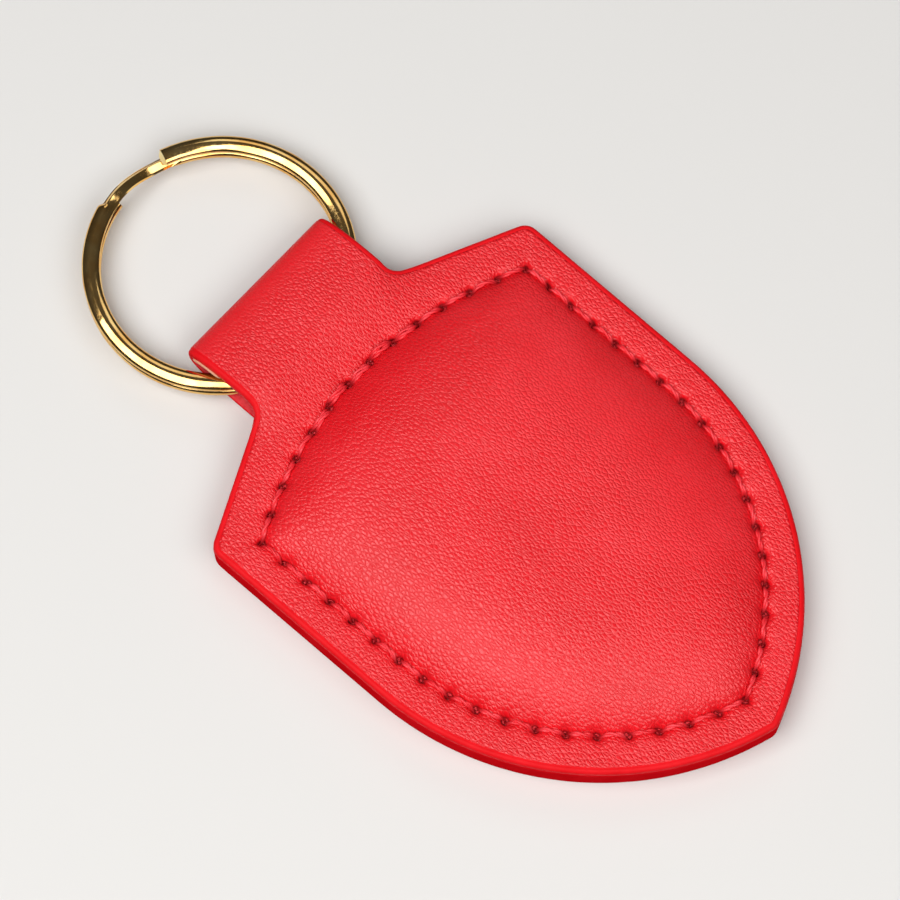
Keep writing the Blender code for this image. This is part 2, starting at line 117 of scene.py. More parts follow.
def outlineRuns(inset):
    # Tip to the middle of the shoulder corner, then on to the end of the root fillet
    side, inward = bellySide(inset)
    corner = Vector((fob["shoulderHalf"], fob["cornerY"]))
    root = Vector((fob["tabHalf"], fob["cornerY"] + fob["shoulderRise"]))
    slopeIn, tabIn = leftOf(root - corner), Vector((-1.0, 0.0))
    corner = corner + (inward + slopeIn) * (inset / (1 + inward.dot(slopeIn)))
    root = root + (slopeIn + tabIn) * (inset / (1 + slopeIn.dot(tabIn)))
    upTab = root + Vector((0.0, 1.0))
    half = cornerSteps // 2
    tipRound = max(fob["tipRound"] - inset, fob["leastRound"])
    cornerRound = max(fob["cornerRound"] - inset, fob["leastRound"])
    tip = arcBetween(mirrored(side[1]), side[0], side[1], tipRound, cornerSteps)[half:]
    tip = [point for point in tip if point.x < side[1].x] + [side[1]]
    turn = arcBetween(side[-1], corner, root, cornerRound, cornerSteps)
    fillet = arcBetween(corner, root, upTab, fob["rootFillet"] + inset, filletSteps)
    return tip + side[2:] + turn[:half + 1], turn[half:] + fillet


def seamRun():
    # The stitched line from the tip to its corner
    side, inward = bellySide(fob["seamMargin"])
    along = Vector((inward.y, -inward.x))
    base = Vector((fob["shoulderHalf"], fob["cornerY"])) + inward * fob["seamMargin"]
    return side + [base + along * ((fob["seamCornerY"] - base.y) / along.y)]


def pointAlong(run, share):
    # The point at a share of a run's length, and the way that the run goes there
    lengths = [0.0]
    for start, end in zip(run, run[1:]):
        lengths.append(lengths[-1] + (end - start).length)
    wanted = lengths[-1] * min(max(share, 0.0), 1.0)
    index = 0
    while index < len(run) - 2 and lengths[index + 1] < wanted:
        index += 1
    part = (wanted - lengths[index]) / (lengths[index + 1] - lengths[index])
    return run[index].lerp(run[index + 1], part), (run[index + 1] - run[index]).normalized()


# The columns of both covers: places round the seam, closer together at each needle hole
stitchShares = (0.0, 0.035, 0.075, 0.125, 0.2, 0.32, 0.5, 0.68, 0.8, 0.875, 0.925, 0.965)


def seamColumns(steps):
    side = seamRun()
    cornerPoint = side[-1]
    bow = fob["seamTopY"] - fob["seamCornerY"]
    top = []
    for step in range(topSteps + 1):
        across = mix(cornerPoint.x, -cornerPoint.x, step / topSteps)
        top.append(Vector((across, cornerPoint.y + bow * (1 - (across / cornerPoint.x) ** 2))))
    runs = {"right": side, "top": top, "left": [mirrored(point) for point in reversed(side)]}
    columns = []
    for (part, run), count in zip(runs.items(), fob["stitches"]):
        length = sum((end - start).length for start, end in zip(run, run[1:]))
        for stitch in range(count):
            for step in steps:
                share = (stitch + step) / count
                columns.append({"part": part, "share": share, "seam": pointAlong(run, share)[0],
                                "toHole": min(step, 1 - step) * length / count})
    return columns, cornerPoint.x


def nearestTop(columns, aim):
    # How far from the middle that column of the top seam lies that is nearest to a wanted place
    tops = [abs(column["seam"].x) for column in columns if column["part"] == "top"]
    return min((abs(across - aim), across) for across in tops)[1]


def seamMiddle(columns):
    return Vector((0.0, (columns[0]["seam"].y + fob["seamTopY"]) / 2))


def sideShare(column):
    return column["share"] if column["part"] == "right" else 1 - column["share"]


def onLeft(column):
    return column["part"] == "left" or (column["part"] == "top" and column["seam"].x < 0)


def addOutline(columns, cornerX, inset):
    # Gives each column its place on the outline, and the way out of the leather there
    side, shoulder = outlineRuns(inset)
    tabX = fob["tabHalf"] - inset
    breakX = nearestTop(columns, fob["tabHalf"] * cornerX / fob["shoulderHalf"])
    for column in columns:
        across = abs(column["seam"].x)
        column["root"] = column["part"] == "top" and across < breakX + tiny
        if column["root"]:
            place, out = Vector((across / breakX * tabX, shoulder[-1].y)), Vector((1.0, 0.0))
        else:
            if column["part"] == "top":
                place, way = pointAlong(shoulder, (cornerX - across) / (cornerX - breakX))
            else:
                place, way = pointAlong(side, sideShare(column))
            out = Vector((way.y, -way.x)) if across > tiny else Vector((0.0, -1.0))
        column["edge"] = mirrored(place) if onLeft(column) else place
        column["out"] = mirrored(out) if onLeft(column) else out


# Meshes

def selectOnly(*wanted):
    bpy.ops.object.select_all(action="DESELECT")
    for each in wanted:
        each.select_set(True)
    bpy.context.view_layer.objects.active = wanted[0]


def pieceFrom(name, mesh, materials, smoothDeg):
    bmesh.ops.recalc_face_normals(mesh, faces=mesh.faces)
    bmesh.ops.scale(mesh, verts=mesh.verts, vec=(mm, mm, mm))
    data = bpy.data.meshes.new(name)
    mesh.to_mesh(data)
    mesh.free()
    made = bpy.data.objects.new(name, data)
    bpy.context.scene.collection.objects.link(made)
    for material in materials:
        data.materials.append(material)
    selectOnly(made)
    bpy.ops.object.shade_smooth_by_angle(angle=math.radians(smoothDeg))
    return made


def bridgeRows(mesh, first, second, closed=True, material=0):
    for place in range(len(first) if closed else len(first) - 1):
        after = (place + 1) % len(first)
        face = mesh.faces.new((first[place], first[after], second[after], second[place]))
        face.material_index = material


def bridgeAll(mesh, rows, material=0):
    for row, nextRow in zip(rows, rows[1:]):
        bridgeRows(mesh, row, nextRow, material=material)


def closeToPoint(mesh, row, peak, material=0):
    for place, vertex in enumerate(row):
        mesh.faces.new((vertex, row[(place + 1) % len(row)], peak)).material_index = material


def rowSteps(part):
    # Rows of a cover from its outline in to its crown: side of the seam, what is counted, how much
    steps = [(-1, "share", amount) for amount in part["outerShares"]]
    steps += [(-1, "reach", amount) for amount in part["outerReach"]]
    steps += [(1, "reach", amount) for amount in part["innerReach"]]
    return steps + [(1, "share", amount) for amount in part["innerShares"]]


def stitchedDip(part, offSeam, toHole):
    # How deep the thread and the needle drew the leather in, and how much painted shadow the hole gets
    away = math.hypot(offSeam, toHole)
    groove = part["grooveDepth"] * hump(offSeam, part["grooveHalf"])
    pit = part["pitDepth"] * hump(away, part["pitHalf"])
    pucker = part["puckerDepth"] * hump(away, part["puckerHalf"])
    return groove + pit + pucker, hump(away, part["pitShadeHalf"])


# Front cover: one piece of leather for the dome, the tab, the fold and the tail

frontCover = {
    "leather": 1.0, "bevel": 0.68,
    "riseStartY": 12.269, "riseEndY": 18.331, "edgeSettle": 2.2,
    "settleFromShare": 0.7, "settleOverShare": 0.6,
    "domeHeight": 4.0, "domePower": 2.3, "domeFoot": 0.3, "cornerBlend": 2.0, "leastDistance": 0.01,
    "stretchedShare": 0.25,
    "grooveDepth": 0.16, "grooveHalf": 0.55, "pitDepth": 0.9, "pitHalf": 0.52,
    "puckerDepth": 0.2, "puckerHalf": 1.0, "pitShadeHalf": 0.5,
    "foldY": 27.269, "foldSpringY": 18.6, "foldReturnY": 21.0, "foldPower": 2.5,
    "foldShadeFrom": 22.6, "foldShadeOver": 4.0,
    "bendStartY": 16.731, "bendLength": 3.4, "tailZ": 1.5, "tailEndY": 9.169, "tailBevel": 0.3,
    # the crown is looked for from the first place to the second, in steps of the third
    "crownSearch": (-40.0, 11.0, 0.25),
    # the rows lie at millimetres from the seam, or at shares of the way to the edge or the crown
    "outerShares": (1.0, 0.93, 0.78, 0.6, 0.45), "outerReach": (1.15, 0.85, 0.62, 0.45, 0.3, 0.15),
    "innerReach": (0.0, 0.15, 0.3, 0.45, 0.62, 0.85, 1.15, 1.5, 1.9, 2.4, 3.0, 3.7, 4.6),
    "innerShares": (0.3, 0.38, 0.47, 0.56, 0.65, 0.74, 0.82, 0.89, 0.95, 0.985),
    "underShares": (0.0, 0.1, 0.25, 0.5, 0.8),
}
# The painted bevel, from the crease outwards and down to the underside, in shares of its
# width and of the leather's thickness
bevelShares = ((0.05, 0.07), (0.12, 0.09), (0.20, 0.07), (0.36, 0.07), (0.54, 0.10), (0.70, 0.16),
               (0.83, 0.25), (0.92, 0.37), (0.98, 0.53), (1.0, 0.72), (1.0, 1.0), (0.9, 1.02))


def tabLift(across, along):
    # The tab climbs to the top of the loop; the shoulders beside its root stay down
    part = frontCover
    rise = smoothStep((along - part["riseStartY"]) / (part["riseEndY"] - part["riseStartY"]))
    shoulder = smoothStep((abs(across) / fob["tabHalf"] - part["settleFromShare"]) / part["settleOverShare"])
    onTab = smoothStep((along - fob["cornerY"] - fob["shoulderRise"]) / part["edgeSettle"])
    return (fob["loopTop"] - fob["flangeTop"]) * rise * (1 - shoulder * (1 - onTab))


def sideDistance(across, along):
    # From the seam's curved side in to a place, in millimetres
    centre, radius, inward = bellyCircle()
    way = Vector((across, along)) - centre
    base = Vector((fob["shoulderHalf"], fob["cornerY"]))
    if way.dot(Vector((inward.y, -inward.x))) > 0:
        return (Vector((across, along)) - base).dot(inward) - fob["seamMargin"]
    return radius - fob["seamMargin"] - way.length


def domeDistance(across, along, cornerX):
    # The nearness of the three sides blended, so that the dome has no ridges towards its corners
    bow = fob["seamTopY"] - fob["seamCornerY"]
    topY = fob["seamCornerY"] + bow * (1 - (across / cornerX) ** 2)
    top = (topY - along) / math.hypot(1.0, 2 * bow * across / cornerX ** 2)
    near = [sideDistance(across, along), sideDistance(-across, along), top]
    power = frontCover["cornerBlend"]
    return sum(max(distance, frontCover["leastDistance"]) ** -power for distance in near) ** (-1 / power)


def domeCrown(cornerX):
    # How far from the seam the middle of the dome lies at most, and where
    low, high, step = frontCover["crownSearch"]
    places = [low + step * count for count in range(round((high - low) / step))]
    return max((domeDistance(0.0, along, cornerX), along) for along in places)


def domeRise(inside):
    return frontCover["domeHeight"] * (1 - (1 - inside) ** frontCover["domePower"])


def tabPath():
    # Grain side of the tab in the YZ plane from its root to the tail's end, with its outward normal
    part = frontCover
    rootY = outlineRuns(0.0)[1][-1].y
    middleZ = fob["loopTop"] / 2
    path = []

    def addRun(name, placeAt):
        path.extend(Vector(placeAt(step / tabSteps[name])) for step in range(1, tabSteps[name] + 1))

    def foldPlace(springY, share, side):
        # a quarter of the squarish loop: the upper one where side is 1, the lower one where it is -1
        angle, power = math.pi / 2 * share, 2 / part["foldPower"]
        reach, rise = max(math.cos(angle), 0.0) ** power, max(math.sin(angle), 0.0) ** power
        return springY + (part["foldY"] - springY) * reach, middleZ + side * middleZ * rise

    addRun("straight", lambda share: (mix(rootY, part["foldSpringY"], share), fob["loopTop"]))
    addRun("overFold", lambda share: foldPlace(part["foldSpringY"], 1 - share, 1))
    addRun("underFold", lambda share: foldPlace(part["foldReturnY"], share, -1))
    addRun("back", lambda share: (mix(part["foldReturnY"], part["bendStartY"], share), 0.0))
    addRun("bend", lambda share: (part["bendStartY"] - part["bendLength"] * share,
                                  part["tailZ"] * smoothStep(share)))
    addRun("tail", lambda share: (mix(part["bendStartY"] - part["bendLength"], part["tailEndY"], share),
                                  part["tailZ"]))
    stations = []
    for index, point in enumerate(path):
        before = path[index - 1] if index else Vector((rootY, point.y))
        after = path[min(index + 1, len(path) - 1)]
        way = (after - before).normalized()
        stations.append({"place": point, "out": Vector((-way.y, way.x)), "way": way})
    return stations


def buildFrontCover(materials):
    part = frontCover
    columns, cornerX = seamColumns(stitchShares)
    addOutline(columns, cornerX, part["bevel"])
    mesh = bmesh.new()
    hideMap = mesh.loops.layers.uv.new("hide")
    domeShade = mesh.verts.layers.float.new("dome")
    holeShade = mesh.verts.layers.float.new("hole")
    foldShade = mesh.verts.layers.float.new("fold")
    flat = {}

    def addPoint(place, along, dome=0.0, hole=0.0, fold=0.0):
        vertex = mesh.verts.new(place)
        vertex[domeShade], vertex[holeShade], vertex[foldShade] = dome, hole, fold
        flat[vertex] = (place.x, along)
        return vertex

    # From the crease in to the seam, then over the dome to its crown
    farthest, crownY = domeCrown(cornerX)
    crown = Vector((0.0, crownY))

    def domeShareAt(point):
        distance = domeDistance(point.x, point.y, cornerX)
        return min(max((distance - part["domeFoot"]) / (farthest - part["domeFoot"]), 0.0), 1.0)

    rows = []
    for side, kind, amount in rowSteps(part):
        row = []
        for column in columns:
            aim = column["edge"] if side < 0 else crown
            ray = (aim - column["seam"]).length
            share = amount if kind == "share" else amount / ray
            point = column["seam"].lerp(aim, share)
            dip, shade = stitchedDip(part, share * ray, column["toHole"])
            inside = domeShareAt(point) if side > 0 else 0.0
            height = fob["flangeTop"] + tabLift(point.x, point.y) - dip + domeRise(inside)
            stretched = min(inside / part["stretchedShare"], 1.0)
            row.append(addPoint(Vector((*point, height)), point.y, dome=stretched, hole=shade))
        rows.append(row)
    bridgeAll(mesh, rows)
    peakZ = fob["flangeTop"] + part["domeHeight"]
    closeToPoint(mesh, rows[-1], addPoint(Vector((*crown, peakZ)), crownY, dome=1.0))

    # The flesh side under the shield
    under = []
    places = [[column["edge"] for column in columns]]
    places += [[column["seam"].lerp(crown, share) for column in columns] for share in part["underShares"]]
    for number, points in enumerate(places):
        row = []
        for point in points:
            inside = domeShareAt(point) if number > 1 else 0.0
            height = fob["flangeTop"] + tabLift(point.x, point.y) - part["leather"] + domeRise(inside)
            row.append(addPoint(Vector((*point, height)), point.y))
        under.append(row)
    bridgeAll(mesh, under, material=2)
    closeToPoint(mesh, under[-1], addPoint(Vector((*crown, peakZ - part["leather"])), crownY), material=2)

    # The tab: the row at its root is carried round the fold to the tail
    rootPlaces = [place for place, column in enumerate(columns) if column["root"]]
    first, last = rootPlaces[0], rootPlaces[-1]
    topRow, underRow = rows[0][first:last + 1], under[0][first:last + 1]
    topStrip, underStrip, stations = [topRow], [underRow], tabPath()
    travelled = topRow[0].co.y
    before = Vector((travelled, fob["loopTop"]))
    for number, station in enumerate(stations):
        travelled += (station["place"] - before).length
        before = station["place"]
        inner = station["place"] - station["out"] * part["leather"]
        onFold = smoothStep((travelled - part["foldShadeFrom"]) / part["foldShadeOver"])
        newTop, newUnder = [], []
        for old in topRow:
            across, lift = old.co.x, 0.0
            if number <= tabSteps["straight"]:
                lift = fob["loopTop"] - fob["flangeTop"] - tabLift(across, station["place"].x)
            newTop.append(addPoint(Vector((across, station["place"].x, station["place"].y - lift)), travelled,
                                   fold=onFold))
            newUnder.append(addPoint(Vector((across, inner.x, inner.y - lift)), travelled))
        bridgeRows(mesh, topStrip[-1], newTop, closed=False)
        bridgeRows(mesh, underStrip[-1], newUnder, closed=False, material=2)
        topStrip.append(newTop)
        underStrip.append(newUnder)

    # The painted edge, all the way round: shield, tab, tail and back
    rim = []

    def rimOnShield(places):
        for place in places:
            rim.append((rows[0][place], under[0][place], Vector((*columns[place]["out"], 0.0)),
                        Vector((0.0, 0.0, -1.0))))

    def rimOnTab(numbers, end, sideWay):
        for number in numbers:
            inwards = Vector((0.0, *-stations[number]["out"]))
            top, below = topStrip[number + 1][end], underStrip[number + 1][end]
            rim.append((top, below, Vector((sideWay, 0.0, 0.0)), inwards))

    rimOnShield(range(first + 1))
    rimOnTab(range(len(stations) - 1), 0, 1.0)
    tail = stations[-1]
    for place, vertex in enumerate(topStrip[-1]):
        sideWay = {0: 1.0, len(topStrip[-1]) - 1: -1.0}.get(place, 0.0)
        endWay = Vector((0.0, *tail["way"])) * part["tailBevel"] + Vector((sideWay, 0.0, 0.0))
        rim.append((vertex, underStrip[-1][place], endWay, Vector((0.0, *-tail["out"]))))
    rimOnTab(range(len(stations) - 2, -1, -1), -1, -1.0)
    rimOnShield(range(last, len(columns)))
    bevelRows = [[top for top, below, out, down in rim]]
    for outShare, downShare in bevelShares:
        row = []
        for top, below, out, down in rim:
            sideways = out * (outShare * part["bevel"])
            vertex = addPoint(top.co + sideways + down * (downShare * part["leather"]), flat[top][1])
            flat[vertex] = (flat[top][0] + sideways.x, flat[top][1] + sideways.y)
            row.append(vertex)
        bevelRows.append(row)
    bevelRows.append([below for top, below, out, down in rim])
    bridgeAll(mesh, bevelRows[:-1], material=1)
    bridgeAll(mesh, bevelRows[-2:], material=2)

    for face in mesh.faces:
        for corner in face.loops:
            across, along = flat[corner.vert]
            corner[hideMap].uv = (across * mm, along * mm)
    made = pieceFrom("frontCover", mesh, materials, smoothDeg=75)
    print("front cover:", len(made.data.polygons), "faces")
    return made


# Painted wall round the shield: it joins the edges of both covers and of the board between them

edgeWall = {
    # beside the tab the wall thins out and stops, so that it stays clear of the strap
    "stopX": 10.74, "clearX": 10.72,
    # out from the outline and up from the table; points above liftAbove follow the front cover's lift
    "liftAbove": 2.5,
    "section": ((-0.25, 3.30), (-0.06, 3.36), (0.02, 3.22), (0.045, 2.9), (0.02, 2.2), (0.03, 1.5),
                (0.045, 0.8), (0.03, 0.3), (-0.06, 0.08), (-0.25, 0.02), (-0.3, 1.6)),
}


def buildEdgeWall(material):
    columns, cornerX = seamColumns(stitchShares[::2])
    addOutline(columns, cornerX, 0.0)
    kept = [column for column in columns
            if column["part"] != "top" or abs(column["edge"].x) > edgeWall["stopX"]]
    start = next(place for place, column in enumerate(kept)
                 if column["part"] == "top" and column["edge"].x < 0)
    mesh = bmesh.new()
    rows = []
    for column in kept[start:] + kept[:start]:
        edge, row = column["edge"], []
        for out, height in edgeWall["section"]:
            if column["part"] == "top":
                out = max(out, edgeWall["clearX"] - abs(edge.x))
            lift = tabLift(edge.x, edge.y) if height > edgeWall["liftAbove"] else 0.0
            row.append(mesh.verts.new((*(edge + column["out"] * out), height + lift)))
        rows.append(row)
    bridgeAll(mesh, rows)
    mesh.faces.new(rows[0])
    mesh.faces.new(list(reversed(rows[-1])))
    return pieceFrom("edgePaint", mesh, [material], smoothDeg=70)


# Back cover: flat leather, notched for the tail and grooved along its own row of stitches

backCover = {
    "leather": 1.2, "notchHalf": 10.78, "notchY": 13.671, "notchColumn": 0.6,
    "edgeRound": 0.2, "edgeRoundShare": 0.3, "fleshInset": 0.25, "reachPerMm": 0.42,
    "grooveDepth": 0.3, "grooveHalf": 0.5, "pitDepth": 0.35, "pitHalf": 0.34,
    "puckerDepth": 0.0, "puckerHalf": 1.0, "pitShadeHalf": 0.4,
    "outerShares": (0.8, 0.5), "outerReach": (1.0, 0.7, 0.45, 0.3, 0.15),
    "innerReach": (0.0, 0.15, 0.3, 0.45, 0.7, 1.0, 1.6), "innerShares": (0.25, 0.5, 0.75, 0.95),
}


def addNotchedOutline(columns, cornerX, inset):
    part = backCover
    side, shoulder = outlineRuns(inset)
    # the slope runs straight on past the root fillet
    filletPlace = len(shoulder) - filletSteps - 1
    straight = shoulder[:filletPlace]
    way = (shoulder[filletPlace] - straight[-1]).normalized()
    notchX, notchY = part["notchHalf"] + inset, part["notchY"] - inset
    edgePoint = straight[-1] + way * ((straight[-1].x - notchX) / -way.x)
    notchRun = straight + [edgePoint, Vector((notchX, notchY))]
    # the notch's corner belongs to a column outside it, so that no row crosses the opening
    breakX = nearestTop(columns, part["notchHalf"] + part["notchColumn"])
    for column in columns:
        across = abs(column["seam"].x)
        if column["part"] != "top":
            place = pointAlong(side, sideShare(column))[0]
        elif across < breakX + tiny:
            place = Vector((across / breakX * notchX, notchY))
        else:
            place = pointAlong(notchRun, (cornerX - across) / (cornerX - breakX))[0]
        column["edge"] = mirrored(place) if onLeft(column) else place


def buildBackCover(materials):
    part = backCover
    columns, cornerX = seamColumns(stitchShares)
    mesh = bmesh.new()
    holeShade = mesh.verts.layers.float.new("hole")
    crown = seamMiddle(columns)
    rows = []
    # Flesh side, square edge, then the grain side that lies on the table
    rounded = part["edgeRound"] * part["edgeRoundShare"]
    edges = ((part["fleshInset"], part["leather"]), (0.0, part["leather"]), (0.0, part["edgeRound"]),
             (rounded, rounded), (part["edgeRound"], 0.0))
    for inset, height in edges:
        addNotchedOutline(columns, cornerX, inset)
        rows.append([mesh.verts.new((*column["edge"], height)) for column in columns])
    for side, kind, amount in rowSteps(part):
        row = []
        for column in columns:
            aim = column["edge"] if side < 0 else crown
            ray = (aim - column["seam"]).length
            # where the edge is near, the rows keep closer to the seam
            share = amount if kind == "share" else amount * min(1.0, part["reachPerMm"] * ray) / ray
            dip, shade = stitchedDip(part, share * ray, column["toHole"])
            vertex = mesh.verts.new((*column["seam"].lerp(aim, share), dip))
            vertex[holeShade] = shade
            row.append(vertex)
        rows.append(row)
    bridgeAll(mesh, rows[:2], material=1)
    bridgeAll(mesh, rows[1:])
    closeToPoint(mesh, rows[-1], mesh.verts.new((*crown, 0.0)))
    closeToPoint(mesh, rows[0], mesh.verts.new((*crown, part["leather"])), material=1)
    return pieceFrom("backCover", mesh, materials, smoothDeg=50)


# Pad under the dome, a block of foam cut to the dome's shape

foamPad = {
    "baseZ": 2.8, "gap": 0.3, "leastRise": 0.15, "startShare": 0.09,
    "rowShares": (0.13, 0.18, 0.25, 0.33, 0.42, 0.52, 0.63, 0.75, 0.88, 0.96),
}


def buildFoamPad(material):
    columns, cornerX = seamColumns((0.0, 0.5))
    crown = seamMiddle(columns)
    mesh = bmesh.new()
    top = fob["flangeTop"] - frontCover["leather"] - foamPad["gap"]
    start, foot = foamPad["startShare"], frontCover["domeFoot"]
    reach = domeCrown(cornerX)[0] - foot
    rows = [[mesh.verts.new((*column["seam"].lerp(crown, start), foamPad["baseZ"])) for column in columns]]
    for share in (start, *foamPad["rowShares"]):
        row = []
        for column in columns:
            point = column["seam"].lerp(crown, share)
            distance = domeDistance(point.x, point.y, cornerX) - foot - foamPad["gap"]
            height = top + domeRise(min(max(distance, 0.0) / reach, 1.0))
            row.append(mesh.verts.new((*point, max(height, foamPad["baseZ"] + foamPad["leastRise"]))))
        rows.append(row)
    bridgeAll(mesh, rows)
    closeToPoint(mesh, rows[-1], mesh.verts.new((*crown, top + frontCover["domeHeight"])))
    closeToPoint(mesh, rows[0], mesh.verts.new((*crown, foamPad["baseZ"])))
    return pieceFrom("foamPad", mesh, [material], smoothDeg=50)


# Reinforcing tape under the front of the tab; its edge shows as a pale line in the mouth

tabTape = {
    "half": 10.4, "proudHalf": 10.8, "proudY": 22.2, "proudOver": 1.2, "glue": 0.01, "thickness": 0.3,
    "startY": 19.3, "endY": 25.9, "steps": 24,
}


def buildTabTape(material):
    part, steps = tabTape, tabTape["steps"]
    mesh = bmesh.new()
    rows = []
    for station in tabPath()[:tabSteps["straight"] + tabSteps["overFold"]]:
        inner = station["place"] - station["out"] * (frontCover["leather"] + part["glue"])
        lower = inner - station["out"] * part["thickness"]
        if inner.x < part["startY"] or lower.x > part["endY"]:
            continue
        proud = smoothStep((inner.x - part["proudY"]) / part["proudOver"] + 0.5)
        half = mix(part["half"], part["proudHalf"], proud)
        row = [mesh.verts.new((mix(half, -half, step / steps), *inner)) for step in range(steps + 1)]
        row += [mesh.verts.new((mix(-half, half, step / steps), *lower)) for step in range(steps + 1)]
        rows.append(row)
    bridgeAll(mesh, rows)
    for row in (rows[0], rows[-1]):
        for step in range(steps):
            mesh.faces.new((row[step], row[step + 1], row[2 * steps - step], row[2 * steps + 1 - step]))
    return pieceFrom("tabTape", mesh, [material], smoothDeg=50)


# Split ring: two turns of half-round wire, one on the other

splitRing = {
    "outside": 15.0, "wireWidth": 2.0, "baseZ": 1.3, "height": 2.45, "coilGap": 0.07,
    "centre": (-0.5, 31.831), "endDeg": 71, "climbDeg": 28, "stepDeg": 2.5, "points": 40,
    "flatEdge": 0.60, "crownPower": 1.5, "flatRound": 0.8, "flatPower": 0.9, "slant": 1.1,
    # where the wire climbs from one turn to the other it was pressed narrower and roof-shaped
    "pinchHalf": 0.72, "pinchInwards": 0.12, "roofOuter": 1.2, "roofInner": 0.56, "roofTop": 0.62,
    "roofDrop": 0.12, "roofSoft": 0.04,
    # degrees from the climb's start or past its end where the press sets in or lets go, and over how many
    "pressFrom": -10, "pressOver": 8, "outerFreeAt": 7, "outerFreeOver": 2.5, "innerFreeAt": 13,
    "innerFreeOver": 12, "fineFrom": -12, "fineTo": 15, "fineStepDeg": 1.0,
}


def softMin(values, softness):
    return -softness * math.log(sum(math.exp(-value / softness) for value in values))


def wireSection(coil, climb, outerPinch, innerPinch):
    # Half-round wire: its flat side faces the other turn, so it turns over as the wire climbs
    part = splitRing
    half, pinched, flatEdge = part["wireWidth"] / 2, part["pinchHalf"], part["flatEdge"]
    section = []
    for step in range(part["points"]):
        angle = math.tau * step / part["points"]
        across, up = math.cos(angle), math.sin(angle)
        crown = max(1 - abs(across) ** part["crownPower"], 0.0) ** 0.5
        roundSide = (across, flatEdge + (coil - flatEdge) * crown)
        flatSide = (math.copysign(abs(across) ** part["flatRound"], across),
                    flatEdge * (1 - abs(up) ** part["flatPower"]))
        upperTurn, lowerTurn = (roundSide, flatSide) if up >= 0 else (flatSide, roundSide)
        high = mix(coil - lowerTurn[1], upperTurn[1], climb) - coil / 2
        wide = mix(lowerTurn[0], upperTurn[0], climb) * half
        pressed = across * pinched
        slopes = ((pinched - pressed) * part["roofOuter"], (pinched + pressed) * part["roofInner"],
                  coil * part["roofTop"] - part["roofDrop"])
        roof = softMin(slopes, part["roofSoft"]) - part["roofDrop"]
        pressedHigh = max(roof, 0.0) if up >= 0 else -coil / 2 * abs(up)
        pinch = outerPinch if across > 0 else innerPinch
        section.append((mix(wide, pressed - part["pinchInwards"], pinch), mix(high, pressedHigh, pinch)))
    return section


def buildSplitRing(materials):
    part = splitRing
    coil = (part["height"] - part["coilGap"]) / 2
    first, last = part["endDeg"] + part["climbDeg"], part["endDeg"] + 720
    climbStart, climbEnd = part["endDeg"] + 360, part["endDeg"] + part["climbDeg"] + 360
    radius = part["outside"] - part["wireWidth"] / 2
    turns = [first]
    while turns[-1] < last - tiny:
        fine = climbStart + part["fineFrom"] < turns[-1] < climbEnd + part["fineTo"]
        turns.append(min(turns[-1] + part["fineStepDeg" if fine else "stepDeg"], last))
    mesh = bmesh.new()
    rows = []
    for degrees in turns:
        climb = smoothStep((degrees - climbStart) / part["climbDeg"])
        onset = smoothStep((degrees - climbStart - part["pressFrom"]) / part["pressOver"])
        outerPinch = onset * smoothStep((climbEnd + part["outerFreeAt"] - degrees) / part["outerFreeOver"])
        innerPinch = onset * smoothStep((climbEnd + part["innerFreeAt"] - degrees) / part["innerFreeOver"])
        middle = part["baseZ"] + coil / 2 + (coil + part["coilGap"]) * climb
        row = []
        for wide, high in wireSection(coil, climb, outerPinch, innerPinch):
            # the last stretch is snipped on a slant, its upper edge set back
            slant = part["slant"] * (0.5 + high / coil) if degrees == last else 0.0
            reach, turned = radius + wide, math.radians(degrees) - slant / radius
            row.append(mesh.verts.new((part["centre"][0] + reach * math.cos(turned),
                                       part["centre"][1] + reach * math.sin(turned), middle + high)))
        rows.append(row)
    bridgeAll(mesh, rows)
    mesh.faces.new(rows[0]).material_index = 1
    mesh.faces.new(list(reversed(rows[-1]))).material_index = 1
    return pieceFrom("splitRing", mesh, materials, smoothDeg=48)


# Stitches: a two-ply thread that goes down at each hole, modelled once and copied to its places

needleStitch = {
    "surfaceZ": fob["flangeTop"] - 0.04, "ply": 0.15, "plyApart": 0.12, "sink": 0.95, "rise": 0.13,
    "overhang": 0.62, "shadowedEnd": 0.50,
    # stitches sewn twice at the seam's start: which one, how much higher and how far to the side
    "sewnTwice": ((22, 0.16, 0.30), (23, 0.2, -0.32), (24, 0.16, 0.34), (25, 0.2, -0.30), (26, 0.14, 0.32)),
}
bobbinStitch = {
    "surfaceZ": 0.32, "ply": 0.12, "plyApart": 0.09, "sink": 0.30, "rise": 0.08,
    "overhang": 0.30, "shadowedEnd": 0.25, "sewnTwice": (),
}
unitStitch = {"length": 3.3, "steps": 26, "halfTwists": 3.0, "slack": 0.25, "lean": 0.28, "leanTurn": 2.4}


